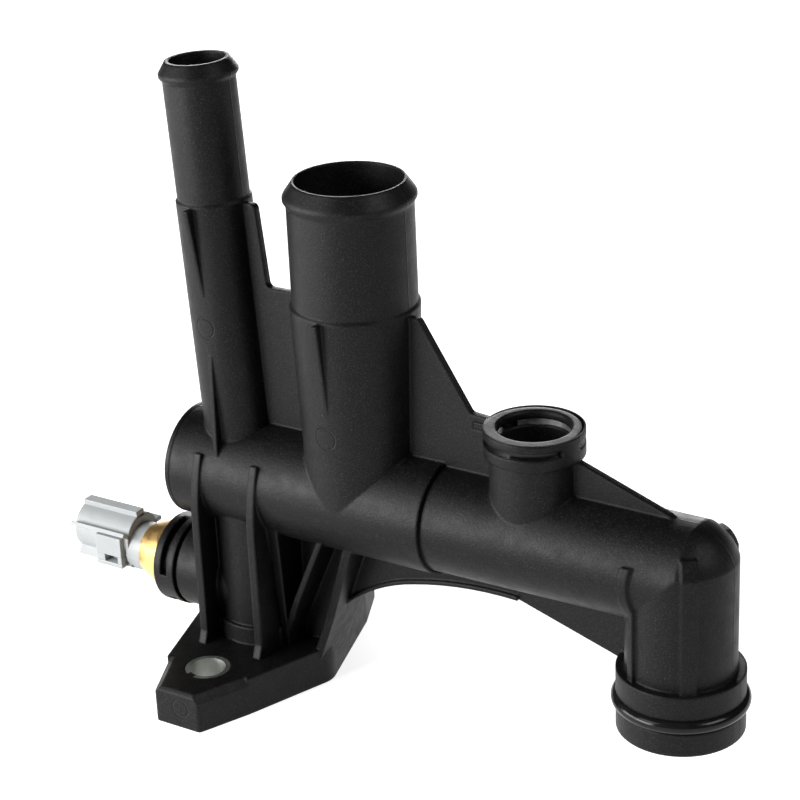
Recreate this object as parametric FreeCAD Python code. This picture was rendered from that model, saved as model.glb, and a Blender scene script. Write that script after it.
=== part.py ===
import FreeCAD, Part
import math
import os

# Coolant water outlet of an engine, all sizes in millimetres
# Origin at the middle of the mounting face, +Z up, +X along the gallery towards the spigot,
# +Y across it. The flange stands on z = 0.

V = FreeCAD.Vector
X_AXIS = V(1, 0, 0)
Y_AXIS = V(0, 1, 0)
Z_AXIS = V(0, 0, 1)

# How far a cutter reaches past the surface it cuts
CUT = 4.0

# Gallery pipe
GALLERY_Z = 56.8
GALLERY_R = 15.25
GALLERY_BORE_R = 12.6
GALLERY_LEFT_X = -18.1
SEAM_X = 59.7
SEAM_WIDTH = 0.6
SEAM_DEPTH = 0.5
RIGHT_R_START = 14.4
RIGHT_BORE_R = 11.4

# Closing cap welded into the open end of the gallery
CAP_T = 1.6
CAP_EDGE = 0.2
CAP_PLUG_LENGTH = 3.5
CAP_RING_IN = 1.4
CAP_RING_W = 0.4
CAP_WALL = 2.0

# Large hose tube
BIG_X = 34.4
BIG_TOP_Z = 143.4
BIG_R = 16.0
BIG_BORE_R = 13.75
BIG_BEAD_R = 16.8
BIG_BEAD_LENGTH = 6.0
BIG_SHOULDER_Z = 111.3
BIG_SHOULDER_R = 16.6
BIG_FOOT_R = 15.2

# Small hose tube, leaning towards the capped end
THIN_X = -3.3
THIN_LEAN_DEG = 3.3
THIN_LENGTH = 112.3
THIN_R = 9.4
THIN_BORE_R = 7.3
THIN_BEAD_R = 10.25
THIN_BEAD_LENGTH = 5.0
THIN_SHOULDER = 76.3
THIN_SHOULDER_R = 9.9

# Socket of the plug-in pipe
PORT_X = 85.3
PORT_TOP_Z = 87.2
PORT_R = 12.7
PORT_BORE_R = 9.2
PORT_RING_H = 2.1
PORT_SLOT_H = 1.8
PORT_COLLAR_H = 3.2
PORT_NECK_R = 11.4
PORT_CHANNEL_R = 11.2
PORT_SEAT_Z = 72.0
PORT_SEAT_BORE_R = 7.4
PORT_GROOVE_R = 12.35
PORT_GROOVE_SHIFT = 0.9
PORT_GROOVE_INNER_R = 12.1
PORT_GROOVE_DEPTH = 1.2
PORT_EDGE = 0.15
PORT_LEAD = 0.6
PORT_FRONT_SLOT_START = -200.0
PORT_FRONT_SLOT_END = -28.0
PORT_BACK_SLOT_START = -1.0
PORT_BACK_SLOT_END = 124.0
PORT_CLIP_R = 10.9
PORT_CLIP_T = 1.4
PORT_CLIP_START = -95.0
PORT_CLIP_END = 145.0
PORT_CLIP_PLAY = 0.2

# Spigot that plugs into the engine
SPIGOT_X = 125.3
SPIGOT_BOTTOM_Z = 14.6
SPIGOT_R = 16.1
SPIGOT_PIPE_R = 13.9
SPIGOT_BORE_R = 11.0
COLLAR_TOP_Z = 31.0
RING_GROOVE_TOP_Z = 24.6
RING_GROOVE_H = 3.8
RING_SECTION_R = 1.8
RING_PROUD = 1.2
SPIGOT_EDGE = 0.2
KNEE_R = 14.6
ELBOW_RIB_PROUD = 1.0
ELBOW_RIB_LEFT_W = 2.2
ELBOW_RIB_LEFT_DEG = -31.0
ELBOW_RIB_LEFT_TOP_Z = 62.0
ELBOW_RIB_RIGHT_W = 4.0
ELBOW_RIB_RIGHT_DEG = 33.0
ELBOW_RIB_RIGHT_TOP_Z = 66.0

# Duct between the gallery and the flange
DUCT_R = 12.5
DUCT_BORE_R = 9.8
DUCT_FOOT_R = 13.6
DUCT_FOOT_H = 5.2

# Flange with two bolt holes
FLANGE_T = 10.6
FLANGE_END_Y = 42.5
FLANGE_END_HALF = 7.0
FLANGE_CORNER_X = 22.7
FLANGE_CORNER_SHIFT = 3.0
FLANGE_KNEE_X = 13.2
FLANGE_KNEE_Y = 28.6
FLANGE_CORNER_ROUND = 7.0
FLANGE_EAR_ROUND = 1.2
EAR_CHAMFER = 2.0
EAR_END_CHAMFER = 1.0
BOLT_Y = 28.2
GASKET_R = 16.4
GASKET_W = 2.6
GASKET_DEPTH = 2.4

# Steel sleeves in the bolt holes
SLEEVE_R = 6.0
SLEEVE_BORE_R = 4.8
SLEEVE_SLIT = 2.4
SLEEVE_SLIT_DEG = -106.0

# Ribs and webs of the moulding
WEB_T = 2.0
WEB_RIM_T = 3.8
WEB_RIM_H = 1.1
WEB_ROUND = 1.5
TALL_WEB_TOP_X = 5.6
TALL_WEB_LOW_X = 7.9
TALL_WEB_DROP = 0.5
SHOULDER_WEB_DROP = 0.8
PORT_WEB_TOP_X = 53.5
PORT_WEB_DROP = 1.5
PORT_WEB_LOW_X = 67.7
PORT_WEB_LOW_Z = 87.2
PORT_WEB_END_Z = 86.5
ELBOW_WEB_START_Z = 81.1
ELBOW_WEB_KNEE_X = 122.2
ELBOW_WEB_KNEE_Z = 71.5
ELBOW_WEB_END_Z = 69.8
ARCH_FOOT = V(27.0, 0, 23.3)
ARCH_LEFT = V(38.2, 0, 31.2)
ARCH_BEND = V(49.4, 0, 35.3)
ARCH_MIDDLE = V(63.0, 0, 37.8)
ARCH_TOP = V(80.4, 0, 38.3)
ARCH_END = V(110.0, 0, 28.85)
RIB_T = 2.3
RIB_X = 9.0
RIB_REACH_Y = 17.2
RIB_BEND_Z = 46.0
RIB_ARC_Y = 16.2
RIB_ARC_Z = 56.5
RIB_TOP_Y = 13.9
RIB_FOOT_H = 3.4
RIB_FOOT_FLARE = 1.3
SIDE_RIB_LOW_X = 12.1
SIDE_RIB_LOW_W = 1.8
SIDE_RIB_LOW_Y = 8.4
SIDE_RIB_HIGH_X = 11.9
SIDE_RIB_HIGH_W = 3.4
SIDE_RIB_HIGH_Y = 11.8
OUTER_BRACE_FOOT_X = 22.6
OUTER_BRACE_SLOPE = 0.381
OUTER_BRACE_T = 2.4
OUTER_BRACE_FOOT_HALF = 6.4
OUTER_BRACE_WAIST_Z = 22.0
OUTER_BRACE_WAIST_HALF = 6.8
INNER_BRACE_FOOT_X = 11.4
INNER_BRACE_SLOPE = 0.446
INNER_BRACE_T = 1.6
INNER_BRACE_FOOT_HALF = 7.7
INNER_BRACE_WAIST_Z = 26.0
INNER_BRACE_WAIST_HALF = 10.6
BRACE_TOP_Z = 48.0
BRACE_TOP_HALF = 10.8
BRACE_SUNK = 5.0
TUBE_RIB_T = 1.3
RIB_TOP_Z = 65.5

# Socket of the temperature sensor, lying along X
SENSOR_Z = 24.4
SENSOR_MOUTH_X = -28.9
SENSOR_R = 12.4
SENSOR_NECK_R = 12.0
SENSOR_BORE_R = 10.2
SENSOR_RING_W = 2.2
SENSOR_SLOT_W = 2.2
SENSOR_SECOND_W = 2.1
SENSOR_GAP_W = 1.0
SENSOR_GAP_R = 10.9
SENSOR_CLIP_R = 10.6
SENSOR_SEAL_BACK = 4.4
SENSOR_SEAL_W = 3.0
SENSOR_SEAT_X = -16.0
PROBE_R = 4.6
PROBE_HOLE_R = 5.0
PROBE_TIP_X = -3.0

# Sensor
HEX_R = 11.2
HEX_TIP_R = 7.0
HEX_END_R = 10.7
HEX_LEFT_X = -38.3
HEX_RIGHT_X = -29.6
STEM_R = 9.9
CLIP_GROOVE_R = 8.6
SEAL_SECTION_R = 1.3
PLUG_LEFT_X = -61.0
PLUG_RIGHT_X = -43.6
PLUG_NECK_R = 6.6
PLUG_R = 7.0
PLUG_BORE_R = 5.6
PLUG_FLOOR = 3.0
PLUG_RIDGE_W = 3.6
PLUG_RIDGE_REACH = 10.6
PLUG_FIN_W = 2.0
PLUG_FIN_REACH = 10.0
PLUG_FIN_DEG = 117.6
PLUG_LOW_FIN_REACH = 8.2
PLUG_LOW_FIN_DEG = 49.4
LATCH_Y = 8.2
LATCH_LENGTH = 6.0
LATCH_UP = 1.1
LATCH_DOWN = 7.6
LATCH_WINDOW_UP = -1.7
LATCH_WINDOW_DOWN = 4.2
PIN_W = 0.8
PIN_GAP = 5.0
PIN_ROOT = 4.0


def cylinder(r, h, at, axis=Z_AXIS):
    return Part.makeCylinder(r, h, at, axis)


def block(x0, x1, y0, y1, z0, z1):
    return Part.makeBox(x1 - x0, y1 - y0, z1 - z0, V(x0, y0, z0))


def turned(points):
    # points are (radius, height) pairs, turned about the Z axis
    corners = [V(r, 0, h) for r, h in points]
    face = Part.Face(Part.makePolygon(corners + [corners[0]]))
    return face.revolve(V(0, 0, 0), Z_AXIS, 360)


def moved(shape, at):
    out = shape.copy()
    out.translate(at)
    return out


def along_x(shape, at):
    # lays a shape turned about Z down so that its height runs towards +X
    out = shape.copy()
    out.rotate(V(0, 0, 0), Y_AXIS, 90)
    out.translate(at)
    return out


def leaning(shape):
    # sets a shape turned about Z onto the leaning axis of the small tube
    out = shape.copy()
    out.rotate(V(0, 0, 0), Y_AXIS, -THIN_LEAN_DEG)
    out.translate(V(THIN_X, 0, GALLERY_Z))
    return out


def plate_xz(points, thickness):
    # flat plate in the middle plane, points are (x, z)
    corners = [V(x, -thickness / 2, z) for x, z in points]
    face = Part.Face(Part.makePolygon(corners + [corners[0]]))
    return face.extrude(V(0, thickness, 0))


def plate_yz(points, x_mid, thickness):
    # flat plate across the part, points are (y, z)
    corners = [V(x_mid - thickness / 2, y, z) for y, z in points]
    face = Part.Face(Part.makePolygon(corners + [corners[0]]))
    return face.extrude(V(thickness, 0, 0))


def sector(r_in, r_out, z0, z1, start_deg, sweep_deg):
    # piece of a ring about the Z axis
    corners = [V(r_in, 0, z0), V(r_out, 0, z0), V(r_out, 0, z1), V(r_in, 0, z1)]
    face = Part.Face(Part.makePolygon(corners + [corners[0]]))
    out = face.revolve(V(0, 0, 0), Z_AXIS, sweep_deg)
    out.rotate(V(0, 0, 0), Z_AXIS, start_deg)
    return out


def edges_along(solid, axis, picks):
    # straight edges that run along the axis through one of the picked points
    chosen = []
    for edge in solid.Edges:
        start = edge.Vertexes[0].Point
        step = edge.Vertexes[-1].Point - start
        if step.Length < 0.01 or step.cross(axis).Length > 0.01:
            continue
        for pick in picks:
            if (start - pick).cross(axis).Length < 0.01:
                chosen.append(edge)
    return chosen


def both_sides(shape):
    # the part is the same in front of and behind the middle plane
    return shape.fuse(shape.mirror(V(0, 0, 0), Y_AXIS))


# Large tube: profile of the outside and of the bore
def big_tube():
    bead_z = BIG_TOP_Z - BIG_BEAD_LENGTH
    body = turned([
        (0, GALLERY_Z), (BIG_FOOT_R, GALLERY_Z), (BIG_FOOT_R, GALLERY_Z + GALLERY_R),
        (BIG_SHOULDER_R, BIG_SHOULDER_Z - 1), (BIG_SHOULDER_R, BIG_SHOULDER_Z - 0.4),
        (BIG_SHOULDER_R - 0.4, BIG_SHOULDER_Z), (BIG_R, BIG_SHOULDER_Z), (BIG_R, bead_z),
        (BIG_BEAD_R, bead_z + 1.4), (BIG_BEAD_R, bead_z + 2.2), (BIG_BEAD_R - 0.3, bead_z + 2.8),
        (BIG_BORE_R + 0.5, BIG_TOP_Z), (0, BIG_TOP_Z),
    ])
    return moved(body, V(BIG_X, 0, 0))


def big_bore():
    bore = cylinder(BIG_BORE_R, BIG_TOP_Z, V(BIG_X, 0, BIG_SHOULDER_Z))
    lower = Part.makeCone(GALLERY_BORE_R, BIG_BORE_R, BIG_SHOULDER_Z - GALLERY_Z, V(BIG_X, 0, GALLERY_Z))
    return bore.fuse(lower)


# Small tube, built upright from its foot and then leaned
def thin_tube():
    bead = THIN_LENGTH - THIN_BEAD_LENGTH
    body = turned([
        (0, 0), (THIN_SHOULDER_R, 0), (THIN_SHOULDER_R, THIN_SHOULDER - 0.3),
        (THIN_SHOULDER_R - 0.3, THIN_SHOULDER), (THIN_R, THIN_SHOULDER), (THIN_R, bead),
        (THIN_BEAD_R, bead + 1.2), (THIN_BEAD_R, bead + 2.0), (THIN_BEAD_R - 0.3, bead + 2.5),
        (THIN_BORE_R + 1.0, THIN_LENGTH), (0, THIN_LENGTH),
    ])
    return leaning(body)


def thin_bore():
    return leaning(cylinder(THIN_BORE_R, THIN_LENGTH + 1, V(0, 0, 0)))


# Socket of the plug-in pipe with the slot for its spring clip
def port_slot_top():
    return PORT_TOP_Z - PORT_RING_H


def port_slot_bottom():
    return port_slot_top() - PORT_SLOT_H


def port_body():
    collar_z = port_slot_bottom() - PORT_COLLAR_H
    body = turned([
        (0, GALLERY_Z), (PORT_NECK_R, GALLERY_Z), (PORT_NECK_R, collar_z), (PORT_R, collar_z + PORT_EDGE),
        (PORT_R, PORT_TOP_Z - PORT_EDGE), (PORT_R - PORT_EDGE, PORT_TOP_Z), (0, PORT_TOP_Z),
    ])
    return moved(body, V(PORT_X, 0, 0))


def port_slot(start, end):
    return sector(PORT_BORE_R, PORT_R + CUT, port_slot_bottom(), port_slot_top(), start, end - start)


def port_cuts():
    bore = cylinder(PORT_BORE_R, PORT_TOP_Z, V(0, 0, PORT_SEAT_Z))
    lead = Part.makeCone(PORT_BORE_R, PORT_BORE_R + PORT_LEAD, PORT_LEAD, V(0, 0, PORT_TOP_Z - PORT_LEAD))
    seat = cylinder(PORT_SEAT_BORE_R, PORT_SEAT_Z, V(0, 0, GALLERY_Z))
    channel = cylinder(PORT_CHANNEL_R, PORT_SLOT_H, V(0, 0, port_slot_bottom()))
    front = port_slot(PORT_FRONT_SLOT_START, PORT_FRONT_SLOT_END)
    back = port_slot(PORT_BACK_SLOT_START, PORT_BACK_SLOT_END)
    # crescent groove in the top face, widest at the back
    groove_z = PORT_TOP_Z - PORT_GROOVE_DEPTH
    groove = cylinder(PORT_GROOVE_R, CUT, V(0, 0, groove_z))
    groove = groove.cut(cylinder(PORT_GROOVE_INNER_R, 2 * CUT, V(0, -PORT_GROOVE_SHIFT, groove_z - 1)))
    cuts = bore.multiFuse([lead, seat, channel, front, back, groove])
    return moved(cuts, V(PORT_X, 0, 0))


def port_clip():
    # open band of spring steel that shows in the slot and inside the mouth
    z0 = port_slot_bottom() + PORT_CLIP_PLAY
    z1 = port_slot_top() - PORT_CLIP_PLAY
    band = sector(PORT_CLIP_R - PORT_CLIP_T, PORT_CLIP_R, z0, z1, PORT_CLIP_START, PORT_CLIP_END - PORT_CLIP_START)
    return moved(band, V(PORT_X, 0, 0))


# Elbow and spigot
def spigot_body():
    groove_z = RING_GROOVE_TOP_Z - RING_GROOVE_H
    groove_r = SPIGOT_R + RING_PROUD - 2 * RING_SECTION_R
    body = turned([
        (0, SPIGOT_BOTTOM_Z), (SPIGOT_R - SPIGOT_EDGE, SPIGOT_BOTTOM_Z), (SPIGOT_R, SPIGOT_BOTTOM_Z + SPIGOT_EDGE),
        (SPIGOT_R, groove_z), (groove_r, groove_z), (groove_r, RING_GROOVE_TOP_Z),
        (SPIGOT_R, RING_GROOVE_TOP_Z), (SPIGOT_R, COLLAR_TOP_Z), (SPIGOT_PIPE_R, COLLAR_TOP_Z),
        (SPIGOT_PIPE_R, GALLERY_Z), (0, GALLERY_Z),
    ])
    return moved(body, V(SPIGOT_X, 0, 0))


def right_gallery():
    length = SPIGOT_X - SEAM_X
    pipe = Part.makeCone(RIGHT_R_START, SPIGOT_PIPE_R, length, V(SEAM_X, 0, GALLERY_Z), X_AXIS)
    return pipe.fuse(knee(0))


def knee(proud):
    # ball at the corner of the elbow, held inside the round of both pipes
    r = SPIGOT_PIPE_R + proud
    reach = 2 * KNEE_R
    ball = Part.makeSphere(KNEE_R + proud, V(SPIGOT_X, 0, GALLERY_Z))
    across = cylinder(r, 2 * reach, V(SPIGOT_X - reach, 0, GALLERY_Z), X_AXIS)
    upright = cylinder(r, 2 * reach, V(SPIGOT_X, 0, GALLERY_Z - reach))
    return ball.common(across).common(upright)


def right_bore():
    pipe = cylinder(RIGHT_BORE_R, SPIGOT_X - SEAM_X + 1, V(SEAM_X - 1, 0, GALLERY_Z), X_AXIS)
    knee = Part.makeSphere(RIGHT_BORE_R, V(SPIGOT_X, 0, GALLERY_Z))
    drop = cylinder(SPIGOT_BORE_R, GALLERY_Z, V(SPIGOT_X, 0, 0))
    mouth = Part.makeCone(SPIGOT_BORE_R + 1, SPIGOT_BORE_R, 1.5, V(SPIGOT_X, 0, SPIGOT_BOTTOM_Z))
    return pipe.multiFuse([knee, drop, mouth])


def elbow_rib(width, degrees, top_z):
    # band that stands proud of the elbow and follows its round upwards
    r = SPIGOT_PIPE_R + ELBOW_RIB_PROUD
    skin = cylinder(r, GALLERY_Z - COLLAR_TOP_Z, V(SPIGOT_X, 0, COLLAR_TOP_Z))
    across = cylinder(r, KNEE_R, V(SPIGOT_X - KNEE_R, 0, GALLERY_Z), X_AXIS)
    skin = skin.multiFuse([across, knee(ELBOW_RIB_PROUD)])
    slab = block(-width / 2, width / 2, -2 * KNEE_R, -KNEE_R / 2, COLLAR_TOP_Z, top_z)
    slab.rotate(V(0, 0, 0), Z_AXIS, degrees)
    return both_sides(skin.common(moved(slab, V(SPIGOT_X, 0, 0))))


def elbow_ribs():
    left = elbow_rib(ELBOW_RIB_LEFT_W, ELBOW_RIB_LEFT_DEG, ELBOW_RIB_LEFT_TOP_Z)
    right = elbow_rib(ELBOW_RIB_RIGHT_W, ELBOW_RIB_RIGHT_DEG, ELBOW_RIB_RIGHT_TOP_Z)
    return [left, right]


# Gallery, its cap and the seam between the two slides of the mould
def left_gallery():
    return cylinder(GALLERY_R, SEAM_X - GALLERY_LEFT_X, V(GALLERY_LEFT_X, 0, GALLERY_Z), X_AXIS)


def left_bore():
    return cylinder(GALLERY_BORE_R, SEAM_X - GALLERY_LEFT_X, V(GALLERY_LEFT_X, 0, GALLERY_Z), X_AXIS)


def seam_groove():
    at = V(SEAM_X - SEAM_WIDTH / 2, 0, GALLERY_Z)
    ring = cylinder(GALLERY_R + 1, SEAM_WIDTH, at, X_AXIS)
    core = cylinder(RIGHT_R_START - SEAM_DEPTH, SEAM_WIDTH, at, X_AXIS)
    top = block(SEAM_X - 2, SEAM_X + 2, -WEB_T, WEB_T, GALLERY_Z + 12, GALLERY_Z + 20)
    bottom = block(SEAM_X - 2, SEAM_X + 2, -WEB_T, WEB_T, GALLERY_Z - 20, GALLERY_Z - 12)
    return ring.cut(core).cut(top).cut(bottom)


def end_cap():
    face_x = GALLERY_LEFT_X - CAP_T
    disc = turned([
        (0, 0), (GALLERY_R - CAP_EDGE, 0), (GALLERY_R, CAP_EDGE), (GALLERY_R, CAP_T),
        (GALLERY_BORE_R, CAP_T), (GALLERY_BORE_R, CAP_T + CAP_PLUG_LENGTH), (0, CAP_T + CAP_PLUG_LENGTH),
    ])
    hollow = cylinder(GALLERY_BORE_R - CAP_WALL, CAP_PLUG_LENGTH, V(0, 0, CAP_T + CAP_RING_W))
    ring_r = GALLERY_R - CAP_RING_IN
    ring = cylinder(ring_r, CAP_RING_W, V(0, 0, 0)).cut(cylinder(ring_r - CAP_RING_W, CAP_RING_W, V(0, 0, 0)))
    return along_x(disc.cut(hollow).cut(ring), V(face_x, 0, GALLERY_Z))


# Duct down to the engine
def duct():
    pipe = cylinder(DUCT_R, GALLERY_Z, V(0, 0, 0))
    foot = cylinder(DUCT_FOOT_R, FLANGE_T + DUCT_FOOT_H, V(0, 0, 0))
    return pipe.fuse(foot)


def duct_bore():
    return cylinder(DUCT_BORE_R, GALLERY_Z + 1, V(0, 0, -1))


# Flange
def flange_outline():
    e = FLANGE_END_HALF
    y = FLANGE_END_Y
    kx = FLANGE_KNEE_X
    ky = FLANGE_KNEE_Y
    c = FLANGE_CORNER_X
    d = FLANGE_CORNER_SHIFT
    corners = [(-e, -y), (e, -y), (kx, -ky), (c, -d), (kx, ky), (e, y), (-e, y), (-kx, ky), (-c, d), (-kx, -ky)]
    points = [V(px, py, 0) for px, py in corners]
    return Part.Face(Part.makePolygon(points + [points[0]]))


def flange():
    plate = flange_outline().extrude(V(0, 0, FLANGE_T))
    sides = [V(FLANGE_CORNER_X, -FLANGE_CORNER_SHIFT, 0), V(-FLANGE_CORNER_X, FLANGE_CORNER_SHIFT, 0)]
    plate = plate.makeFillet(FLANGE_CORNER_ROUND, edges_along(plate, Z_AXIS, sides))
    e = FLANGE_END_HALF
    y = FLANGE_END_Y
    ends = [V(e, -y, 0), V(-e, -y, 0), V(e, y, 0), V(-e, y, 0)]
    plate = plate.makeFillet(FLANGE_EAR_ROUND, edges_along(plate, Z_AXIS, ends))
    return plate.cut(ear_chamfers())


def edge_wedge(drop, length):
    # slopes a top edge that runs along Y, with the plate on its +X side
    profile = Part.makePolygon([
        V(0, 0, -drop), V(drop, 0, 0), V(drop, 0, CUT), V(-CUT, 0, CUT), V(-CUT, 0, -drop), V(0, 0, -drop),
    ])
    return moved(Part.Face(profile).extrude(V(0, length, 0)), V(0, 0, FLANGE_T))


def ear_chamfers():
    # sloped top edges of both ears
    run_x = FLANGE_KNEE_X - FLANGE_END_HALF
    run_y = FLANGE_END_Y - FLANGE_KNEE_Y
    side = moved(edge_wedge(EAR_CHAMFER, math.hypot(run_x, run_y) + 1), V(0, -1, 0))
    side.rotate(V(0, 0, 0), Z_AXIS, math.degrees(math.atan(run_x / run_y)))
    left = moved(side, V(-FLANGE_END_HALF, -FLANGE_END_Y, 0))
    right = left.mirror(V(0, 0, 0), X_AXIS)
    end = edge_wedge(EAR_END_CHAMFER, 4 * FLANGE_END_HALF)
    end.rotate(V(0, 0, 0), Z_AXIS, 90)
    end.translate(V(2 * FLANGE_END_HALF, -FLANGE_END_Y, 0))
    return both_sides(left.multiFuse([right, end]))


def sleeve_solid():
    ring = cylinder(SLEEVE_R, FLANGE_T, V(0, 0, 0)).cut(cylinder(SLEEVE_BORE_R, FLANGE_T, V(0, 0, 0)))
    slit = block(0, SLEEVE_R + 1, -SLEEVE_SLIT / 2, SLEEVE_SLIT / 2, -1, FLANGE_T + 1)
    slit.rotate(V(0, 0, 0), Z_AXIS, SLEEVE_SLIT_DEG)
    return ring.cut(slit)


def bolt_holes():
    hole = sleeve_solid().fuse(cylinder(SLEEVE_BORE_R, FLANGE_T, V(0, 0, 0)))
    return [moved(hole, V(0, y, 0)) for y in (-BOLT_Y, BOLT_Y)]


def gasket():
    outer = cylinder(GASKET_R, GASKET_DEPTH, V(0, 0, 0))
    return outer.cut(cylinder(GASKET_R - GASKET_W, GASKET_DEPTH, V(0, 0, 0)))


# Webs in the middle plane
def web_between_tubes():
    shoulder_x = THIN_X - math.tan(math.radians(THIN_LEAN_DEG)) * THIN_SHOULDER
    top = GALLERY_Z + THIN_SHOULDER
    low = BIG_SHOULDER_Z - SHOULDER_WEB_DROP
    web = plate_xz([
        (THIN_X, GALLERY_Z), (shoulder_x, top - TALL_WEB_DROP), (TALL_WEB_TOP_X, top - TALL_WEB_DROP),
        (TALL_WEB_LOW_X, low), (BIG_X, low), (BIG_X, GALLERY_Z),
    ], WEB_T)
    corners = [V(TALL_WEB_TOP_X, 0, top - TALL_WEB_DROP), V(TALL_WEB_LOW_X, 0, low)]
    return web.makeFillet(WEB_ROUND, edges_along(web, Y_AXIS, corners))


def web_to_port():
    top = BIG_SHOULDER_Z - PORT_WEB_DROP
    web = plate_xz([
        (BIG_X, GALLERY_Z), (BIG_X, top), (PORT_WEB_TOP_X, top), (PORT_WEB_LOW_X, PORT_WEB_LOW_Z),
        (PORT_X - PORT_BORE_R - 1, PORT_WEB_END_Z), (PORT_X - PORT_BORE_R - 1, GALLERY_Z),
    ], WEB_T)
    corners = [V(PORT_WEB_TOP_X, 0, top), V(PORT_WEB_LOW_X, 0, PORT_WEB_LOW_Z)]
    return web.makeFillet(WEB_ROUND, edges_along(web, Y_AXIS, corners))


def web_to_elbow():
    start_x = PORT_X + PORT_BORE_R + 1
    return plate_xz([
        (start_x, GALLERY_Z), (start_x, ELBOW_WEB_START_Z), (ELBOW_WEB_KNEE_X, ELBOW_WEB_KNEE_Z),
        (SPIGOT_X, ELBOW_WEB_END_Z), (SPIGOT_X, GALLERY_Z),
    ], WEB_T)


def upper_webs():
    return [web_between_tubes(), web_to_port(), web_to_elbow()]


def arch(thickness, lift):
    # the curved lower edge of the web, raised by lift, at the front of a plate this thick
    at = V(0, -thickness / 2, lift)
    left = Part.Arc(ARCH_FOOT + at, ARCH_LEFT + at, ARCH_BEND + at).toShape()
    right = Part.Arc(ARCH_BEND + at, ARCH_MIDDLE + at, ARCH_TOP + at).toShape()
    return [left, right]


def lower_web():
    # one wall from the duct to the spigot, with a thick rim along the arch
    at = V(0, -WEB_T / 2, 0)
    foot_x = OUTER_BRACE_FOOT_X - OUTER_BRACE_T / 2
    rest = Part.makePolygon([
        ARCH_TOP + at, ARCH_END + at, V(SPIGOT_X, 0, ARCH_END.z) + at, V(SPIGOT_X, 0, GALLERY_Z) + at,
        V(0, 0, GALLERY_Z) + at, V(0, 0, FLANGE_T - 1) + at, V(foot_x, 0, FLANGE_T - 1) + at, ARCH_FOOT + at,
    ])
    web = Part.Face(Part.Wire(arch(WEB_T, 0) + rest.Edges)).extrude(V(0, WEB_T, 0))
    rim_at = V(0, -WEB_RIM_T / 2, 0)
    rim_lift = V(0, 0, WEB_RIM_H)
    low = arch(WEB_RIM_T, 0)
    high = arch(WEB_RIM_T, WEB_RIM_H)
    end = Part.makePolygon([ARCH_TOP + rim_at, ARCH_TOP + rim_at + rim_lift])
    start = Part.makePolygon([ARCH_FOOT + rim_at + rim_lift, ARCH_FOOT + rim_at])
    outline = Part.Wire(low + end.Edges + high[::-1] + start.Edges)
    rim = Part.Face(outline).extrude(V(0, WEB_RIM_T, 0))
    return [web, rim]


# Ribs across the part
def front_rib(x):
    # flat rib beside the duct whose edge bends back over the gallery
    def at(y, z):
        return V(x - RIB_T / 2, y, z)

    bend = Part.Arc(at(-RIB_REACH_Y, RIB_BEND_Z), at(-RIB_ARC_Y, RIB_ARC_Z), at(-RIB_TOP_Y, RIB_TOP_Z)).toShape()
    rest = Part.makePolygon([
        at(-RIB_TOP_Y, RIB_TOP_Z), at(0, RIB_TOP_Z - RIB_TOP_Y / 2), at(0, FLANGE_T - 1),
        at(-RIB_REACH_Y - RIB_FOOT_FLARE, FLANGE_T - 1), at(-RIB_REACH_Y - RIB_FOOT_FLARE, FLANGE_T),
        at(-RIB_REACH_Y, FLANGE_T + RIB_FOOT_H), at(-RIB_REACH_Y, RIB_BEND_Z),
    ])
    return Part.Face(Part.Wire([bend] + rest.Edges)).extrude(V(RIB_T, 0, 0))


def rectangle(x0, x1, half_y, z):
    return Part.makePolygon([
        V(x0, -half_y, z), V(x1, -half_y, z), V(x1, half_y, z), V(x0, half_y, z), V(x0, -half_y, z),
    ])


def side_rib():
    # thicker rib beside the right front rib, tapering down to the flange
    low_z = FLANGE_T - 1
    low = rectangle(SIDE_RIB_LOW_X - SIDE_RIB_LOW_W / 2, SIDE_RIB_LOW_X + SIDE_RIB_LOW_W / 2, SIDE_RIB_LOW_Y, low_z)
    high = rectangle(
        SIDE_RIB_HIGH_X - SIDE_RIB_HIGH_W / 2, SIDE_RIB_HIGH_X + SIDE_RIB_HIGH_W / 2, SIDE_RIB_HIGH_Y, BRACE_TOP_Z,
    )
    return Part.makeLoft([low, high], True, True)


def front_ribs():
    return [both_sides(front_rib(-RIB_X)), both_sides(front_rib(RIB_X)), side_rib()]


def brace(foot_x, slope, thickness, levels):
    # plate leaning outwards from the flange to the gallery; levels are (height, half width)
    wires = []
    for z, half in levels:
        x = foot_x + slope * (z - FLANGE_T)
        wires.append(rectangle(x - thickness, x, half, z))
    return Part.makeLoft(wires, True, True)


def braces():
    outer = brace(OUTER_BRACE_FOOT_X, OUTER_BRACE_SLOPE, OUTER_BRACE_T, [
        (FLANGE_T - BRACE_SUNK, OUTER_BRACE_FOOT_HALF), (OUTER_BRACE_WAIST_Z, OUTER_BRACE_WAIST_HALF),
        (BRACE_TOP_Z, BRACE_TOP_HALF),
    ])
    inner = brace(INNER_BRACE_FOOT_X, INNER_BRACE_SLOPE, INNER_BRACE_T, [
        (FLANGE_T - 1, INNER_BRACE_FOOT_HALF), (INNER_BRACE_WAIST_Z, INNER_BRACE_WAIST_HALF),
        (BRACE_TOP_Z, BRACE_TOP_HALF),
    ])
    return [outer, inner]


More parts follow.
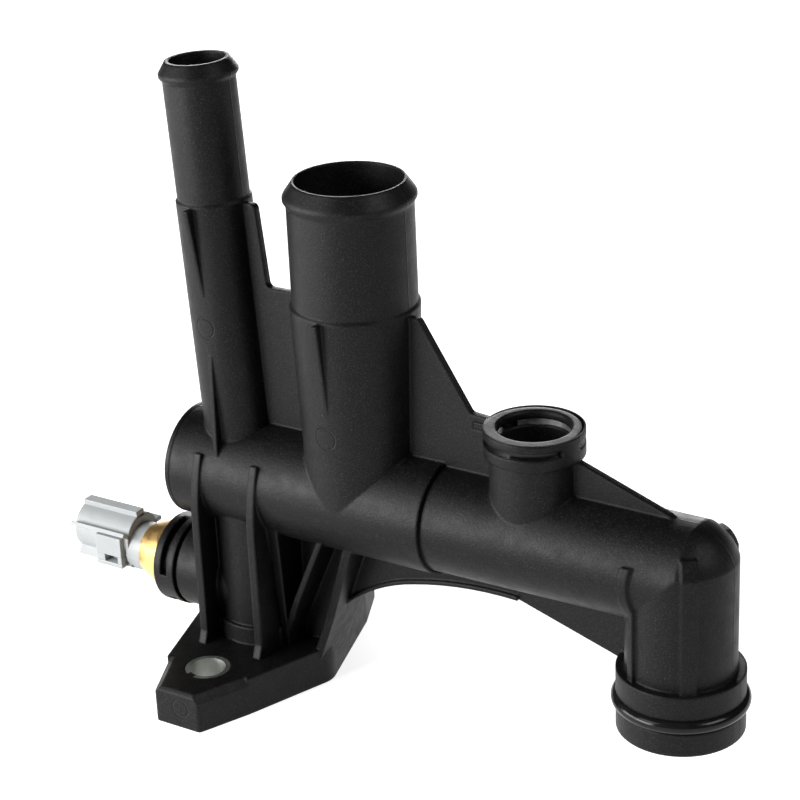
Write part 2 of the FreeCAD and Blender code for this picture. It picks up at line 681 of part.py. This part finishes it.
def tube_ribs():
    # tapering ribs at the front of both hose tubes
    t = TUBE_RIB_T
    big = plate_yz([
        (-BIG_SHOULDER_R - 2.2, BIG_SHOULDER_Z - 0.6), (-BIG_SHOULDER_R + 1, 85.0),
        (-BIG_BORE_R - 1, 85.0), (-BIG_BORE_R - 1, BIG_SHOULDER_Z - 0.6),
    ], BIG_X, t)
    r = THIN_SHOULDER_R
    upper = plate_yz([
        (-r - 2.6, THIN_SHOULDER - 0.6), (-r + 0.6, 46.0), (-THIN_BORE_R - 1, 46.0),
        (-THIN_BORE_R - 1, THIN_SHOULDER - 0.6),
    ], 0, t)
    lower = plate_yz([
        (-r + 0.6, 42.0), (-r - 3.0, 8.0), (-THIN_BORE_R - 1, 8.0), (-THIN_BORE_R - 1, 42.0),
    ], 0, t)
    return [both_sides(big), both_sides(leaning(upper)), both_sides(leaning(lower))]


# Socket of the temperature sensor
def sensor_socket():
    ring_2 = SENSOR_RING_W + SENSOR_SLOT_W + SENSOR_SECOND_W
    neck = ring_2 + SENSOR_GAP_W
    end = -SENSOR_MOUTH_X
    body = turned([
        (0, 0), (SENSOR_R, 0), (SENSOR_R, ring_2), (SENSOR_GAP_R, ring_2), (SENSOR_GAP_R, neck),
        (SENSOR_NECK_R, neck), (SENSOR_NECK_R - 0.3, end), (0, end),
    ])
    return along_x(body, V(SENSOR_MOUTH_X, 0, SENSOR_Z))


def sensor_cuts():
    bore = cylinder(SENSOR_BORE_R, SENSOR_SEAT_X - SENSOR_MOUTH_X, V(0, 0, 0))
    probe = cylinder(PROBE_HOLE_R, -SENSOR_MOUTH_X, V(0, 0, 0))
    z0 = SENSOR_RING_W
    z1 = SENSOR_RING_W + SENSOR_SLOT_W
    # height runs along X once laid down, and the turn angle is counted from straight down
    upper = sector(SENSOR_BORE_R - 1, SENSOR_R + 1, z0, z1, -182, 92)
    lower = sector(SENSOR_BORE_R - 1, SENSOR_R + 1, z0, z1, -50, 36)
    back = sector(SENSOR_BORE_R - 1, SENSOR_R + 1, z0, z1, 30, 110)
    cuts = bore.multiFuse([probe, upper, lower, back])
    return along_x(cuts, V(SENSOR_MOUTH_X, 0, SENSOR_Z))


def sensor_body():
    left = HEX_LEFT_X
    hexagon = []
    for k in range(7):
        a = math.radians(60 * k)
        hexagon.append(V(HEX_R * math.cos(a), HEX_R * math.sin(a), 0))
    head = Part.Face(Part.makePolygon(hexagon)).extrude(V(0, 0, HEX_RIGHT_X - left))
    round_off = turned([(0, 0), (HEX_TIP_R, 0), (HEX_END_R, HEX_RIGHT_X - left), (0, HEX_RIGHT_X - left)])
    head = head.common(round_off)
    clip_x = SENSOR_MOUTH_X + SENSOR_RING_W - left
    seal_x = SENSOR_SEAT_X - left - SENSOR_SEAL_BACK
    seal_r = SENSOR_BORE_R - 2 * SEAL_SECTION_R
    stem = turned([
        (0, HEX_RIGHT_X - left - 0.5), (STEM_R, HEX_RIGHT_X - left - 0.5), (STEM_R, clip_x + 0.2),
        (CLIP_GROOVE_R, clip_x + 0.2), (CLIP_GROOVE_R, clip_x + SENSOR_SLOT_W - 0.2),
        (STEM_R, clip_x + SENSOR_SLOT_W - 0.2), (STEM_R, seal_x),
        (seal_r, seal_x), (seal_r, seal_x + SENSOR_SEAL_W),
        (STEM_R, seal_x + SENSOR_SEAL_W), (STEM_R, SENSOR_SEAT_X - left), (PROBE_R, SENSOR_SEAT_X - left),
        (PROBE_R, PROBE_TIP_X - left - 2), (PROBE_R - 1.5, PROBE_TIP_X - left), (0, PROBE_TIP_X - left),
    ])
    return along_x(head.fuse(stem), V(left, 0, SENSOR_Z))


def sensor_seal():
    middle = SENSOR_BORE_R - SEAL_SECTION_R
    ring = Part.makeTorus(middle, SEAL_SECTION_R)
    return along_x(ring, V(SENSOR_SEAT_X - SENSOR_SEAL_BACK + SENSOR_SEAL_W / 2, 0, SENSOR_Z))


def sensor_clip():
    # open spring ring lying in the slot of the socket and the groove of the sensor
    ring = turned([
        (CLIP_GROOVE_R, 0.3), (SENSOR_CLIP_R, 0.3), (SENSOR_CLIP_R, SENSOR_SLOT_W - 0.3),
        (CLIP_GROOVE_R, SENSOR_SLOT_W - 0.3),
    ])
    bridge_a = sector(SENSOR_BORE_R, SENSOR_R + 1, -1, 4, -90, 40)
    bridge_b = sector(SENSOR_BORE_R, SENSOR_R + 1, -1, 4, -14, 44)
    bridge_c = sector(SENSOR_BORE_R, SENSOR_R + 1, -1, 4, 140, 38)
    gap = sector(0, SENSOR_R + 1, -1, 4, 0, 20)
    ring = ring.cut(bridge_a.multiFuse([bridge_b, bridge_c, gap]))
    return along_x(ring, V(SENSOR_MOUTH_X + SENSOR_RING_W, 0, SENSOR_Z))


def plug_fin(width, reach, degrees):
    # the angle is counted from straight down towards +Y
    fin = block(0, reach, -width / 2, width / 2, 0, PLUG_RIGHT_X - PLUG_LEFT_X)
    fin.rotate(V(0, 0, 0), Z_AXIS, degrees)
    return fin


def sensor_plug():
    length = PLUG_RIGHT_X - PLUG_LEFT_X
    body = cylinder(PLUG_R, length, V(0, 0, 0))
    neck = cylinder(PLUG_NECK_R, HEX_LEFT_X - PLUG_LEFT_X, V(0, 0, 0))
    ridge = plug_fin(PLUG_RIDGE_W, PLUG_RIDGE_REACH, 180)
    fins = [
        plug_fin(PLUG_FIN_W, PLUG_FIN_REACH, -PLUG_FIN_DEG), plug_fin(PLUG_FIN_W, PLUG_FIN_REACH, PLUG_FIN_DEG),
        plug_fin(PLUG_FIN_W, PLUG_LOW_FIN_REACH, -PLUG_LOW_FIN_DEG),
        plug_fin(PLUG_FIN_W, PLUG_LOW_FIN_REACH, PLUG_LOW_FIN_DEG),
    ]
    latch_start = length - LATCH_LENGTH
    latch = block(-LATCH_UP, LATCH_DOWN, -LATCH_Y, 0, latch_start, length)
    body = body.multiFuse([neck, ridge, latch] + fins)
    bore = cylinder(PLUG_BORE_R, length - PLUG_FLOOR + 1, V(0, 0, -1))
    window = block(-LATCH_WINDOW_UP, LATCH_WINDOW_DOWN, -LATCH_Y - 1, -PLUG_R, latch_start + 0.5, length - 0.5)
    return along_x(body.cut(bore).cut(window), V(PLUG_LEFT_X, 0, SENSOR_Z))


def sensor_pin(side):
    y = side * PIN_GAP / 2
    return block(PLUG_LEFT_X + PIN_ROOT, PLUG_RIGHT_X - PLUG_FLOOR, y - PIN_W / 2, y + PIN_W / 2, SENSOR_Z - PIN_W / 2, SENSOR_Z + PIN_W / 2)


def spigot_ring():
    middle = SPIGOT_R + RING_PROUD - RING_SECTION_R
    at = V(SPIGOT_X, 0, RING_GROOVE_TOP_Z - RING_GROOVE_H / 2)
    return Part.makeTorus(middle, RING_SECTION_R, at, Z_AXIS)


def housing():
    groups = [
        [right_gallery()], [big_tube()], [thin_tube()], [port_body()], [spigot_body()], [duct()], [flange()],
        [sensor_socket()], upper_webs(), lower_web(), front_ribs(), braces(), tube_ribs(), elbow_ribs(),
    ]
    body = left_gallery()
    for group in groups:
        body = body.multiFuse(group)
    hollows = [
        left_bore(), right_bore(), big_bore(), thin_bore(), port_cuts(), duct_bore(), sensor_cuts(), gasket(),
        seam_groove(),
    ]
    for hollow in hollows + bolt_holes():
        body = body.cut(hollow)
    return body


def main_parts():
    sleeve = sleeve_solid()
    return {
        "housing": housing(),
        "end_cap": end_cap(),
        "spigot_o_ring": spigot_ring(),
        "port_clip": port_clip(),
        "sensor_body": sensor_body(),
        "sensor_seal": sensor_seal(),
        "sensor_clip": sensor_clip(),
        "sensor_connector": sensor_plug(),
        "sensor_pin_a": sensor_pin(-1),
        "sensor_pin_b": sensor_pin(1),
        "sleeve_front": moved(sleeve, V(0, -BOLT_Y, 0)),
        "sleeve_rear": moved(sleeve, V(0, BOLT_Y, 0)),
        "flange_gasket": gasket(),
    }


os.makedirs("parts", exist_ok=True)
for name, shape in main_parts().items():
    solids = shape.Solids
    print(name, "solids", len(solids), "valid", shape.isValid(), "volume", round(shape.Volume, 1))
    if len(solids) == 1:
        shape = solids[0]
    shape.exportStep("parts/" + name + ".step")
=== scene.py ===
import bmesh
import bpy
import math
from mathutils import Matrix, Vector


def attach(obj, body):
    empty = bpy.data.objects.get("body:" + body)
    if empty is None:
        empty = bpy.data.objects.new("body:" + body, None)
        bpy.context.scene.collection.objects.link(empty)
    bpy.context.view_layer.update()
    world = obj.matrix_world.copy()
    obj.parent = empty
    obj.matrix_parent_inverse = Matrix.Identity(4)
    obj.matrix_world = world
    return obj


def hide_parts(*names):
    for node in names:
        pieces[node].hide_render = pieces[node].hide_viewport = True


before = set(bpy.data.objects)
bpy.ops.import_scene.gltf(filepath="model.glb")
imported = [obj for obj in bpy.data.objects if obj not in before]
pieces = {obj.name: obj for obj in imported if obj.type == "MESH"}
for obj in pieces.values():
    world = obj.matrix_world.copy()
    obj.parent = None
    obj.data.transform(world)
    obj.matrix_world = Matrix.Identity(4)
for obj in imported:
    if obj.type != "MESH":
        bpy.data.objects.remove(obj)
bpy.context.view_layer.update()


# Housing: one moulding of black glass-filled nylon, with all tubes, the flange and the ribs.
# The mould leaves a fine satin grain, a parting line in the middle plane and round marks of
# its ejector pins; glass fibres show as pale specks. The web is closed beside the port.
def new_finish(name):
    finish = bpy.data.materials.new(name)
    finish.use_nodes = True
    tree = finish.node_tree
    shader = tree.nodes["Principled BSDF"]
    return finish, tree, shader


def add_node(tree, kind, **settings):
    node = tree.nodes.new(kind)
    for key, value in settings.items():
        if hasattr(node, key):
            setattr(node, key, value)
        else:
            node.inputs[key].default_value = value
    return node


def part_place(tree):
    return add_node(tree, "ShaderNodeTexCoord").outputs["Object"]


def grain(tree, place, scale, detail=2.0):
    noise = add_node(tree, "ShaderNodeTexNoise", Scale=scale, Detail=detail, Roughness=0.6)
    tree.links.new(place, noise.inputs["Vector"])
    return noise.outputs["Fac"]


def graded(tree, source, low, high, out_low, out_high):
    node = add_node(tree, "ShaderNodeMapRange")
    sockets = ("From Min", "From Max", "To Min", "To Max")
    for socket, value in zip(sockets, (low, high, out_low, out_high)):
        node.inputs[socket].default_value = value
    tree.links.new(source, node.inputs["Value"])
    return node.outputs["Result"]


def tinted(tree, source, dark, light):
    node = add_node(tree, "ShaderNodeMix", data_type="RGBA")
    node.inputs["A"].default_value = (*dark, 1)
    node.inputs["B"].default_value = (*light, 1)
    tree.links.new(source, node.inputs["Factor"])
    return node.outputs["Result"]


def raised(tree, source, depth, strength=1.0, under=None):
    node = add_node(tree, "ShaderNodeBump", Strength=strength, Distance=depth)
    tree.links.new(source, node.inputs["Height"])
    if under is not None:
        tree.links.new(under, node.inputs["Normal"])
    return node.outputs["Normal"]


def arithmetic(tree, operation, *values):
    node = add_node(tree, "ShaderNodeMath", operation=operation)
    for socket, value in zip(node.inputs, values):
        if isinstance(value, (int, float)):
            socket.default_value = value
        else:
            tree.links.new(value, socket)
    return node.outputs[0]


GRAIN_RANGE = (0.3, 0.7)


def coloured(tree, shader, shade, dark, light):
    tree.links.new(tinted(tree, shade, dark, light), shader.inputs["Base Color"])


def roughened(tree, shader, shade, smooth, rough):
    tree.links.new(graded(tree, shade, *GRAIN_RANGE, smooth, rough), shader.inputs["Roughness"])


def wear_finish(piece, finish):
    mesh = piece.data
    mesh.materials.clear()
    mesh.materials.append(finish)


def new_piece(name, shape):
    mesh = bpy.data.meshes.new(name)
    shape.to_mesh(mesh)
    shape.free()
    piece = bpy.data.objects.new(name, mesh)
    bpy.context.scene.collection.objects.link(piece)
    return piece


NYLON_DARK = (0.002, 0.002, 0.0021)
NYLON_SPECK = (0.032, 0.032, 0.031)
NYLON_SPECULAR = 0.155
BLEND_R = 0.0010
GRAIN_DEPTH = 0.00009
PARTING_LINE = (0.00008, 0.00022)
PARTING_HEIGHT = 0.00012
PIN_LINE = (0.00010, 0.00028)
PIN_DEPTH = 0.0005
# centre along X and Z, radius, nearest and farthest Y of the face that has the mark
PIN_MARKS = (
    (0.0336, 0.0790, 0.0029, -0.020, -0.010),
    (-0.0062, 0.1000, 0.0027, -0.012, -0.006),
    (0.0012, 0.0056, 0.0025, -0.044, -0.041),
)

nylon, tree, shader = new_finish("glass_filled_nylon")
place = part_place(tree)
fine = grain(tree, place, 1500, 3)
coarse = grain(tree, place, 260, 3)
specks = graded(tree, grain(tree, place, 4200, 1), 0.56, 0.76, 0, 1)
roughened(tree, shader, coarse, 0.40, 0.52)
across = add_node(tree, "ShaderNodeSeparateXYZ")
tree.links.new(place, across.inputs[0])
off_middle = arithmetic(tree, "ABSOLUTE", across.outputs["Y"])
parting_line = graded(tree, off_middle, *PARTING_LINE, 1, 0)
blend = add_node(tree, "ShaderNodeBevel", samples=6, Radius=BLEND_R).outputs["Normal"]
surface = raised(tree, fine, GRAIN_DEPTH, 0.7, blend)
surface = raised(tree, parting_line, PARTING_HEIGHT, 0.8, surface)


def pin_mark(x, z, r, nearest_y, farthest_y):
    # round outline that an ejector pin leaves on a face that looks towards -Y
    aside = arithmetic(tree, "SUBTRACT", across.outputs["X"], x)
    above = arithmetic(tree, "SUBTRACT", across.outputs["Z"], z)
    aside_squared = arithmetic(tree, "MULTIPLY", aside, aside)
    above_squared = arithmetic(tree, "MULTIPLY", above, above)
    away = arithmetic(tree, "SQRT", arithmetic(tree, "ADD", aside_squared, above_squared))
    off = arithmetic(tree, "SUBTRACT", away, r)
    line = graded(tree, arithmetic(tree, "ABSOLUTE", off), *PIN_LINE, 1, 0)
    near = arithmetic(tree, "GREATER_THAN", across.outputs["Y"], nearest_y)
    far = arithmetic(tree, "LESS_THAN", across.outputs["Y"], farthest_y)
    return arithmetic(tree, "MULTIPLY", line, arithmetic(tree, "MULTIPLY", near, far))


marks = pin_mark(*PIN_MARKS[0])
for mark in PIN_MARKS[1:]:
    marks = arithmetic(tree, "ADD", marks, pin_mark(*mark))
pale = arithmetic(tree, "MAXIMUM", specks, arithmetic(tree, "MULTIPLY", marks, 0.5))
coloured(tree, shader, pale, NYLON_DARK, NYLON_SPECK)
surface = raised(tree, marks, -PIN_DEPTH, 1.0, surface)
tree.links.new(surface, shader.inputs["Normal"])
shader.inputs["Specular IOR Level"].default_value = NYLON_SPECULAR

wear_finish(pieces["housing"], nylon)

WEB_GAP_SIZE = (0.0045, 0.00196, 0.0022)
WEB_GAP_PLACE = (0.0705, 0, 0.0842)
infill = bmesh.new()
bmesh.ops.create_cube(infill, size=1.0)
bmesh.ops.scale(infill, verts=infill.verts, vec=WEB_GAP_SIZE)
bmesh.ops.translate(infill, verts=infill.verts, vec=WEB_GAP_PLACE)
web_infill = new_piece("web_infill", infill)
wear_finish(web_infill, nylon)
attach(web_infill, "root")


# End cap: a flat disc of the same nylon, welded into the open end of the gallery once the
# long core of the mould has been drawn out.
wear_finish(pieces["end_cap"], nylon)


# Rubber rings: the seal of the spigot, the seal of the sensor and the ring in the flange.
# Smooth black rubber with a wet gloss, stretched into its groove.
rubber, tree, shader = new_finish("smooth_black_rubber")
place = part_place(tree)
soft = grain(tree, place, 500, 2)
coloured(tree, shader, soft, (0.004, 0.004, 0.004), (0.009, 0.009, 0.009))
roughened(tree, shader, soft, 0.14, 0.20)
RUBBER_SPECULAR = 0.18
shader.inputs["Specular IOR Level"].default_value = RUBBER_SPECULAR
tree.links.new(raised(tree, grain(tree, place, 1400, 2), 0.00002, 0.4), shader.inputs["Normal"])
for ring in ("spigot_o_ring", "sensor_seal", "flange_gasket"):
    wear_finish(pieces[ring], rubber)


# Spring clips: bent steel wire and strip with light drawing marks, darkened as painted shade
# deep in their slots. The inner side of the pipe socket's clip is a painted highlight, bright where
# the front light falls.
PORT_AXIS = (0.0853, 0, 0)
DRAWN_ROUGHNESS = (0.28, 0.42)
lit_and_shaded_steel, tree, shader = new_finish("steel_painted_light_and_shade")
place = part_place(tree)
drawn = grain(tree, place, 900, 3)
shader.inputs["Metallic"].default_value = 1.0
out_from_axis = add_node(tree, "ShaderNodeVectorMath", operation="SUBTRACT")
tree.links.new(place, out_from_axis.inputs[0])
out_from_axis.inputs[1].default_value = PORT_AXIS
facing = add_node(tree, "ShaderNodeVectorMath", operation="DOT_PRODUCT")
tree.links.new(out_from_axis.outputs["Vector"], facing.inputs[0])
tree.links.new(add_node(tree, "ShaderNodeNewGeometry").outputs["Normal"], facing.inputs[1])
# Painted light and shade: faces turned in towards the port's axis are painted bright for the lit
# back of the clip, and faces turned out stay dark for the shaded front.
inner_side = graded(tree, facing.outputs["Value"], -0.006, -0.002, 1, 0)
painted_lit_inner_side = arithmetic(tree, "MULTIPLY", inner_side, graded(tree, drawn, *GRAIN_RANGE, 0.75, 1))
coloured(tree, shader, painted_lit_inner_side, (0.050, 0.050, 0.052), (0.72, 0.72, 0.70))
roughened(tree, shader, drawn, *DRAWN_ROUGHNESS)
tree.links.new(raised(tree, drawn, 0.00003, 0.4), shader.inputs["Normal"])
wear_finish(pieces["port_clip"], lit_and_shaded_steel)

shade_darkened_steel, tree, shader = new_finish("steel_painted_shade")
drawn = grain(tree, part_place(tree), 900, 3)
shader.inputs["Metallic"].default_value = 1.0
# Painted shade: the sensor's clip is darkened so that it reads as the shade deep in its slots.
coloured(tree, shader, drawn, (0.030, 0.030, 0.032), (0.055, 0.055, 0.058))
roughened(tree, shader, drawn, *DRAWN_ROUGHNESS)
tree.links.new(raised(tree, drawn, 0.00003, 0.4), shader.inputs["Normal"])
wear_finish(pieces["sensor_clip"], shade_darkened_steel)


# Bolt sleeves: rolled steel tubes with a slit, zinc plated, pressed into the flange so that
# the bolts clamp on metal. The plating is a little mottled.
zinc, tree, shader = new_finish("zinc_plated_steel")
place = part_place(tree)
mottle = grain(tree, place, 420, 4)
shader.inputs["Metallic"].default_value = 1.0
coloured(tree, shader, mottle, (0.34, 0.36, 0.33), (0.60, 0.62, 0.58))
roughened(tree, shader, mottle, 0.34, 0.55)
tree.links.new(raised(tree, grain(tree, place, 1600, 3), 0.00005, 0.6), shader.inputs["Normal"])
for sleeve in ("sleeve_front", "sleeve_rear"):
    wear_finish(pieces[sleeve], zinc)


# Sensor body: turned from brass bar, with a hexagon to hold it and a probe in the coolant.
# It keeps fine lathe rings and a slightly dulled skin.
brass, tree, shader = new_finish("turned_brass")
place = part_place(tree)
rings = add_node(
    tree, "ShaderNodeTexWave", wave_type="BANDS", bands_direction="X", Scale=900.0, Distortion=1.5)
tree.links.new(place, rings.inputs["Vector"])
dull = grain(tree, place, 300, 4)
shader.inputs["Metallic"].default_value = 1.0
coloured(tree, shader, dull, (0.90, 0.52, 0.15), (0.98, 0.70, 0.30))
roughened(tree, shader, dull, 0.26, 0.40)
tree.links.new(raised(tree, rings.outputs["Fac"], 0.00002, 0.3), shader.inputs["Normal"])
wear_finish(pieces["sensor_body"], brass)


# Connector: blue-grey plastic moulded onto the sensor's head, a round shroud with a ridge on
# top, a fin on each side, two low fins and a latch block with a window. Two tinned blades
# stand in its floor for the harness plug.
grey_plastic, tree, shader = new_finish("blue_grey_plastic")
place = part_place(tree)
cloud = grain(tree, place, 220, 3)
coloured(tree, shader, cloud, (0.31, 0.325, 0.33), (0.36, 0.375, 0.38))
roughened(tree, shader, cloud, 0.42, 0.52)
tree.links.new(raised(tree, grain(tree, place, 1500, 3), 0.00003, 0.5), shader.inputs["Normal"])

SENSOR_AXIS = Vector((0, 0, 0.0244))
PLUG_MOUTH = -0.0609
PLUG_AXIS = Vector((0, 0, 0.0273))
PLUG_END = -0.0420


def turned_along_x(mesh, axis, profile, sides=72):
    # profile is a list of (place along X, radius)
    rows = []
    for x, r in profile:
        row = []
        for k in range(sides):
            turn = 2 * math.pi * k / sides
            row.append(mesh.verts.new(axis + Vector((x, r * math.sin(turn), r * math.cos(turn)))))
        rows.append(row)
    for low, high in zip(rows, rows[1:]):
        for k in range(sides):
            mesh.faces.new((low[k], low[k - 1], high[k - 1], high[k]))
    mesh.faces.new(rows[0])
    mesh.faces.new(list(reversed(rows[-1])))


def plug_bar(mesh, along, across, height, turn_deg=0.0):
    # straight bar along the shroud, turned about its axis
    made = bmesh.ops.create_cube(mesh, size=1.0)["verts"]
    spans = (along, across, height)
    bmesh.ops.scale(mesh, verts=made, vec=[high - low for low, high in spans])
    bmesh.ops.translate(mesh, verts=made, vec=[sum(span) / 2 for span in spans])
    turned = Matrix.Rotation(math.radians(turn_deg), 3, "X")
    bmesh.ops.rotate(mesh, verts=made, cent=(0, 0, 0), matrix=turned)
    bmesh.ops.translate(mesh, verts=made, vec=PLUG_AXIS)


plug = bmesh.new()
SHROUD_R, SHROUD_BORE_R, NECK_R = 0.0068, 0.0056, 0.0069
MIDDLE_R = 0.0005
FLOOR_X = PLUG_END - 0.003
NECK = (PLUG_END - 0.0010, -0.0380)
turned_along_x(plug, PLUG_AXIS, [
    (FLOOR_X, MIDDLE_R), (FLOOR_X, SHROUD_BORE_R), (PLUG_MOUTH, SHROUD_BORE_R),
    (PLUG_MOUTH, SHROUD_R), (PLUG_END, SHROUD_R), (PLUG_END, MIDDLE_R),
])
turned_along_x(plug, SENSOR_AXIS, [
    (NECK[0], MIDDLE_R), (NECK[0], NECK_R), (NECK[1], NECK_R), (NECK[1], MIDDLE_R),
])
LENGTH = (PLUG_MOUTH, PLUG_END)
plug_bar(plug, LENGTH, (-0.0019, 0.0015), (SHROUD_R - 0.0010, 0.0080))
for side in (-1, 1):
    plug_bar(plug, LENGTH, (0.0055, 0.0089), (0.0012, 0.0024), 0 if side > 0 else 180 - 34)
    plug_bar(plug, LENGTH, (-0.0009, 0.0009), (0.0060, 0.0094), 180 + side * 36)
BLOCK = (-0.0526, -0.0437)
BLOCK_Y = (-0.0082, -0.0050)
plug_bar(plug, BLOCK, BLOCK_Y, (-0.0040, 0.0018))
plug_bar(plug, BLOCK, BLOCK_Y, (-0.0074, -0.0061))
plug_bar(plug, (BLOCK[0], -0.0496), BLOCK_Y, (-0.0061, -0.0040))
plug_bar(plug, (-0.0452, BLOCK[1]), BLOCK_Y, (-0.0061, -0.0040))
bmesh.ops.recalc_face_normals(plug, faces=plug.faces)
plug_piece = new_piece("plug_shroud", plug)
PLUG_EDGE_R = 0.0002
soften = plug_piece.modifiers.new("edges", "BEVEL")
soften.width = PLUG_EDGE_R
soften.segments = 2
wear_finish(plug_piece, grey_plastic)
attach(plug_piece, "root")
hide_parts("sensor_connector")

tinned, tree, shader = new_finish("tinned_blade")
place = part_place(tree)
tin = grain(tree, place, 700, 3)
shader.inputs["Metallic"].default_value = 1.0
coloured(tree, shader, tin, (0.55, 0.53, 0.48), (0.72, 0.70, 0.66))
roughened(tree, shader, tin, 0.25, 0.40)
tree.links.new(raised(tree, tin, 0.00002, 0.4), shader.inputs["Normal"])
for blade in ("sensor_pin_a", "sensor_pin_b"):
    wear_finish(pieces[blade], tinned)


# Studio: a wide sheet of white paper. The camera and the reflections see it as plain white;
# the lamps put the object's soft shadow on it. The room beyond the paper is dim.
table_mesh = bpy.data.meshes.new("table")
TABLE_HALF = 30.0
TABLE_GAP = 0.0002
corners = ((-1, -1), (1, -1), (1, 1), (-1, 1))
table_mesh.from_pydata([(TABLE_HALF * x, TABLE_HALF * y, 0) for x, y in corners], [], [(0, 1, 2, 3)])
table = bpy.data.objects.new("table", table_mesh)
table.location.z = -TABLE_GAP
bpy.context.scene.collection.objects.link(table)

PAPER_LIFT = 0.8
paper, tree, shader = new_finish("white_paper")
shader.inputs["Base Color"].default_value = (0.80, 0.80, 0.80, 1)
shader.inputs["Roughness"].default_value = 0.9
shader.inputs["Specular IOR Level"].default_value = 0.0
shader.inputs["Emission Color"].default_value = (1, 1, 1, 1)
path = add_node(tree, "ShaderNodeLightPath")
seen = arithmetic(tree, "MAXIMUM", path.outputs["Is Camera Ray"], path.outputs["Is Glossy Ray"])
seen = arithmetic(tree, "MAXIMUM", seen, path.outputs["Is Transmission Ray"])
tree.links.new(arithmetic(tree, "MULTIPLY", seen, PAPER_LIFT), shader.inputs["Emission Strength"])
table_mesh.materials.append(paper)

ROOM_LEVEL = 0.05
world = bpy.data.worlds.new("room")
bpy.context.scene.world = world
world.use_nodes = True
world.node_tree.nodes["Background"].inputs["Color"].default_value = (1, 1, 1, 1)
world.node_tree.nodes["Background"].inputs["Strength"].default_value = ROOM_LEVEL


# Lamps: soft boxes, placed by turn and height round the object as the photograph's shading
# shows them.
AIM = Vector((0.05, 0.0, 0.07))


def soft_box(name, turn_deg, height_deg, distance, size, power):
    a, e = math.radians(turn_deg), math.radians(height_deg)
    away = Vector((math.sin(a) * math.cos(e), -math.cos(a) * math.cos(e), math.sin(e)))
    light = bpy.data.lights.new(name, "AREA")
    light.shape = "RECTANGLE"
    light.size = size[0]
    light.size_y = size[1]
    light.energy = power
    lamp = bpy.data.objects.new(name, light)
    lamp.location = AIM + away * distance
    lamp.rotation_mode = "QUATERNION"
    lamp.rotation_quaternion = (-away).to_track_quat("-Z", "Y")
    bpy.context.scene.collection.objects.link(lamp)
    return lamp


LAMP_DISTANCE = 1.2
LAMP_SIZE = (0.6, 0.5)
# name, turn and height in degrees, power in watts
LAMPS = (
    ("front_soft_box", -30, 10, 17),
    ("left_soft_box", -60, 10, 11),
    ("high_soft_box", -30, 40, 4),
    ("rear_left_soft_box", -150, 10, 8),
    ("right_soft_box", 90, 40, 6),
)
for name, turn_deg, height_deg, power in LAMPS:
    soft_box(name, turn_deg, height_deg, LAMP_DISTANCE, LAMP_SIZE, power)


# Camera: stands where the photograph was taken from, found by fitting the tubes' round
# mouths and edges.
CAMERA_TARGET = Vector((0.046503, 0.0, 0.086382))
CAMERA_TURN = math.radians(33.201)
CAMERA_HEIGHT = math.radians(23.525)
CAMERA_ROLL = math.radians(-2.581)
CAMERA_DISTANCE = 0.591278
LENS_MM = 105.31

toward = Vector((
    math.sin(CAMERA_TURN) * math.cos(CAMERA_HEIGHT),
    -math.cos(CAMERA_TURN) * math.cos(CAMERA_HEIGHT),
    math.sin(CAMERA_HEIGHT),
))
right = (-toward).cross(Vector((0, 0, 1))).normalized()
up = right.cross(-toward)
rolled_right = right * math.cos(CAMERA_ROLL) + up * math.sin(CAMERA_ROLL)
rolled_up = up * math.cos(CAMERA_ROLL) - right * math.sin(CAMERA_ROLL)
camera_data = bpy.data.cameras.new("camera")
camera_data.sensor_width = 36
camera_data.lens = LENS_MM
camera_data.clip_start = 0.02
camera_data.clip_end = 20
camera = bpy.data.objects.new("camera", camera_data)
camera.matrix_world = Matrix.Translation(CAMERA_TARGET + toward * CAMERA_DISTANCE) @ Matrix((
    rolled_right, rolled_up, toward)).transposed().to_4x4()
bpy.context.scene.collection.objects.link(camera)
bpy.context.scene.camera = camera
bpy.context.scene.view_settings.view_transform = "Standard"
